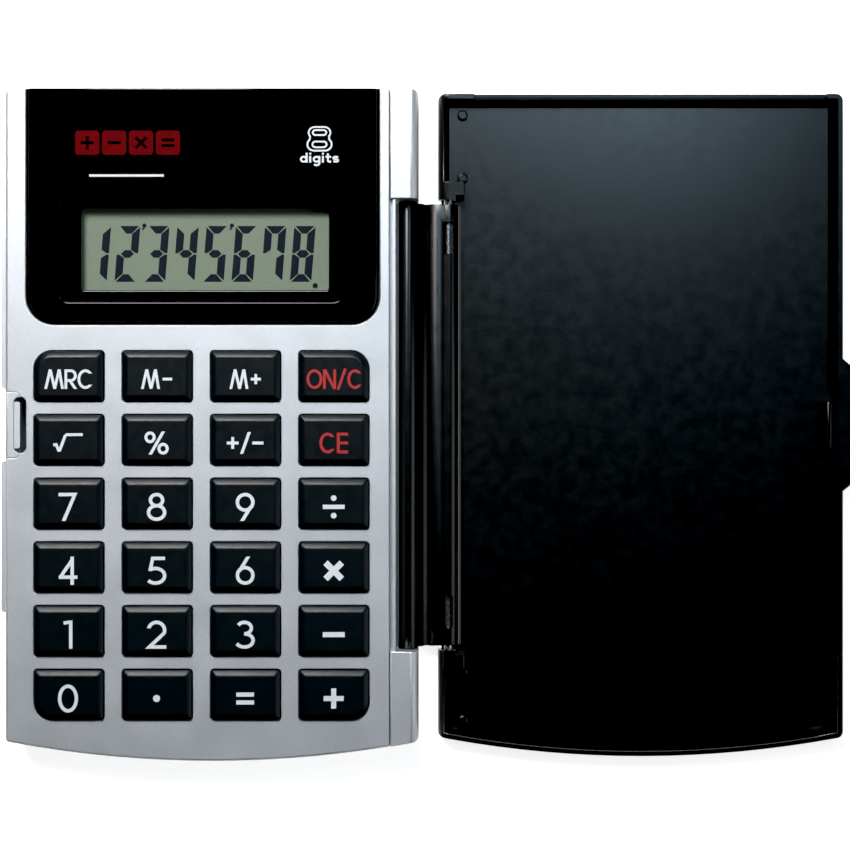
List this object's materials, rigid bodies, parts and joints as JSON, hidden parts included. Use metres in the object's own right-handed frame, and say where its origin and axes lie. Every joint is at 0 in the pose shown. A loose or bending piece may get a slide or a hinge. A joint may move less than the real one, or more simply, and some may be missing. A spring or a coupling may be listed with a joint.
{
  "type": "pocket calculator",
  "caption": "Slim pocket calculator with a framed display window, a keypad of sprung keys and a rigid cover on a double hinge that closes over the keys or folds behind the case.",
  "frame": {"origin": "middle of the case's flat back, on the surface it lies on, with the cover lying open on the right", "axes": "+X across the case towards the hinge and the open cover, +Y towards the display end, +Z out of the keys"},
  "size_m": [0.1464, 0.114, 0.011],
  "materials": {
    "silver_plastic": "satin silver paint on moulded plastic",
    "gloss_black": "polished black",
    "clear_pane": "clear acrylic",
    "polariser": "grey-green film over a reflective LCD",
    "lcd_glass": "float glass",
    "reflector_film": "satin foil",
    "zebra_rubber": "pink and black layered rubber",
    "board_green": "solder mask",
    "epoxy_black": "poured epoxy",
    "component_brown": "moulded",
    "screw_steel": "zinc plated",
    "silicone": "moulded silicone",
    "cell_steel": "nickel plated",
    "contact_brass": "rolled strip",
    "black_plastic": "fine spark-eroded texture",
    "pin_steel": "drawn wire",
    "key_black": "satin top, polished edges"
  },
  "bodies": {
    "calculator": {"rear_case": "silver_plastic", "front_bezel": "silver_plastic", "display_panel": "gloss_black", "display_window": "clear_pane", "lcd_front_polariser": "polariser", "lcd_front_glass": "lcd_glass", "lcd_rear_glass": "lcd_glass", "lcd_reflector": "reflector_film", "zebra_connector": "zebra_rubber", "circuit_board": "board_green", "chip_blob": "epoxy_black", "board_components": "component_brown", "board_screws": "screw_steel", "keypad_membrane": "silicone", "button_cell": "cell_steel", "battery_contact_positive": "contact_brass", "battery_contact_negative": "contact_brass", "case_screws": "screw_steel"},
    "battery_door": {"battery_door": "silver_plastic"},
    "hinge_link": {"hinge_spine": "black_plastic"},
    "cover": {"flip_cover": "black_plastic", "cover_hinge_pins": "pin_steel"},
    "key_mrc": {"key_mrc": "key_black"},
    "key_m_minus": {"key_m_minus": "key_black"},
    "key_m_plus": {"key_m_plus": "key_black"},
    "key_on_c": {"key_on_c": "key_black"},
    "key_sqrt": {"key_sqrt": "key_black"},
    "key_percent": {"key_percent": "key_black"},
    "key_sign": {"key_sign": "key_black"},
    "key_ce": {"key_ce": "key_black"},
    "key_7": {"key_7": "key_black"},
    "key_8": {"key_8": "key_black"},
    "key_9": {"key_9": "key_black"},
    "key_divide": {"key_divide": "key_black"},
    "key_4": {"key_4": "key_black"},
    "key_5": {"key_5": "key_black"},
    "key_6": {"key_6": "key_black"},
    "key_multiply": {"key_multiply": "key_black"},
    "key_1": {"key_1": "key_black"},
    "key_2": {"key_2": "key_black"},
    "key_3": {"key_3": "key_black"},
    "key_minus": {"key_minus": "key_black"},
    "key_0": {"key_0": "key_black"},
    "key_point": {"key_point": "key_black"},
    "key_equals": {"key_equals": "key_black"},
    "key_plus": {"key_plus": "key_black"}
  },
  "joints": [
    {"name": "spine_hinge", "type": "hinge", "parent": "calculator", "child": "hinge_link", "pos_m": [0.0332, 0, 0.005], "axis": [0, -1, 0], "range_deg": [-68.75, 111.25]},
    {"name": "cover_hinge", "type": "hinge", "parent": "hinge_link", "child": "cover", "pos_m": [0.04014, 0, 0.0023], "axis": [0, -1, 0], "range_deg": [-111.25, 68.75]},
    {"name": "battery_door_slide", "type": "slide", "parent": "calculator", "child": "battery_door", "axis": [0, 1, 0], "range_m": [0, 0.018]},
    {"name": "key_mrc_press", "type": "slide", "parent": "calculator", "child": "key_mrc", "axis": [0, 0, -1], "range_m": [0, 0.0008], "stiffness_N_per_m": 450, "deforming": ["keypad_membrane"]},
    {"name": "key_m_minus_press", "type": "slide", "parent": "calculator", "child": "key_m_minus", "axis": [0, 0, -1], "range_m": [0, 0.0008], "stiffness_N_per_m": 450, "deforming": ["keypad_membrane"]},
    {"name": "key_m_plus_press", "type": "slide", "parent": "calculator", "child": "key_m_plus", "axis": [0, 0, -1], "range_m": [0, 0.0008], "stiffness_N_per_m": 450, "deforming": ["keypad_membrane"]},
    {"name": "key_on_c_press", "type": "slide", "parent": "calculator", "child": "key_on_c", "axis": [0, 0, -1], "range_m": [0, 0.0008], "stiffness_N_per_m": 450, "deforming": ["keypad_membrane"]},
    {"name": "key_sqrt_press", "type": "slide", "parent": "calculator", "child": "key_sqrt", "axis": [0, 0, -1], "range_m": [0, 0.0008], "stiffness_N_per_m": 450, "deforming": ["keypad_membrane"]},
    {"name": "key_percent_press", "type": "slide", "parent": "calculator", "child": "key_percent", "axis": [0, 0, -1], "range_m": [0, 0.0008], "stiffness_N_per_m": 450, "deforming": ["keypad_membrane"]},
    {"name": "key_sign_press", "type": "slide", "parent": "calculator", "child": "key_sign", "axis": [0, 0, -1], "range_m": [0, 0.0008], "stiffness_N_per_m": 450, "deforming": ["keypad_membrane"]},
    {"name": "key_ce_press", "type": "slide", "parent": "calculator", "child": "key_ce", "axis": [0, 0, -1], "range_m": [0, 0.0008], "stiffness_N_per_m": 450, "deforming": ["keypad_membrane"]},
    {"name": "key_7_press", "type": "slide", "parent": "calculator", "child": "key_7", "axis": [0, 0, -1], "range_m": [0, 0.0008], "stiffness_N_per_m": 450, "deforming": ["keypad_membrane"]},
    {"name": "key_8_press", "type": "slide", "parent": "calculator", "child": "key_8", "axis": [0, 0, -1], "range_m": [0, 0.0008], "stiffness_N_per_m": 450, "deforming": ["keypad_membrane"]},
    {"name": "key_9_press", "type": "slide", "parent": "calculator", "child": "key_9", "axis": [0, 0, -1], "range_m": [0, 0.0008], "stiffness_N_per_m": 450, "deforming": ["keypad_membrane"]},
    {"name": "key_divide_press", "type": "slide", "parent": "calculator", "child": "key_divide", "axis": [0, 0, -1], "range_m": [0, 0.0008], "stiffness_N_per_m": 450, "deforming": ["keypad_membrane"]},
    {"name": "key_4_press", "type": "slide", "parent": "calculator", "child": "key_4", "axis": [0, 0, -1], "range_m": [0, 0.0008], "stiffness_N_per_m": 450, "deforming": ["keypad_membrane"]},
    {"name": "key_5_press", "type": "slide", "parent": "calculator", "child": "key_5", "axis": [0, 0, -1], "range_m": [0, 0.0008], "stiffness_N_per_m": 450, "deforming": ["keypad_membrane"]},
    {"name": "key_6_press", "type": "slide", "parent": "calculator", "child": "key_6", "axis": [0, 0, -1], "range_m": [0, 0.0008], "stiffness_N_per_m": 450, "deforming": ["keypad_membrane"]},
    {"name": "key_multiply_press", "type": "slide", "parent": "calculator", "child": "key_multiply", "axis": [0, 0, -1], "range_m": [0, 0.0008], "stiffness_N_per_m": 450, "deforming": ["keypad_membrane"]},
    {"name": "key_1_press", "type": "slide", "parent": "calculator", "child": "key_1", "axis": [0, 0, -1], "range_m": [0, 0.0008], "stiffness_N_per_m": 450, "deforming": ["keypad_membrane"]},
    {"name": "key_2_press", "type": "slide", "parent": "calculator", "child": "key_2", "axis": [0, 0, -1], "range_m": [0, 0.0008], "stiffness_N_per_m": 450, "deforming": ["keypad_membrane"]},
    {"name": "key_3_press", "type": "slide", "parent": "calculator", "child": "key_3", "axis": [0, 0, -1], "range_m": [0, 0.0008], "stiffness_N_per_m": 450, "deforming": ["keypad_membrane"]},
    {"name": "key_minus_press", "type": "slide", "parent": "calculator", "child": "key_minus", "axis": [0, 0, -1], "range_m": [0, 0.0008], "stiffness_N_per_m": 450, "deforming": ["keypad_membrane"]},
    {"name": "key_0_press", "type": "slide", "parent": "calculator", "child": "key_0", "axis": [0, 0, -1], "range_m": [0, 0.0008], "stiffness_N_per_m": 450, "deforming": ["keypad_membrane"]},
    {"name": "key_point_press", "type": "slide", "parent": "calculator", "child": "key_point", "axis": [0, 0, -1], "range_m": [0, 0.0008], "stiffness_N_per_m": 450, "deforming": ["keypad_membrane"]},
    {"name": "key_equals_press", "type": "slide", "parent": "calculator", "child": "key_equals", "axis": [0, 0, -1], "range_m": [0, 0.0008], "stiffness_N_per_m": 450, "deforming": ["keypad_membrane"]},
    {"name": "key_plus_press", "type": "slide", "parent": "calculator", "child": "key_plus", "axis": [0, 0, -1], "range_m": [0, 0.0008], "stiffness_N_per_m": 450, "deforming": ["keypad_membrane"]}
  ]
}
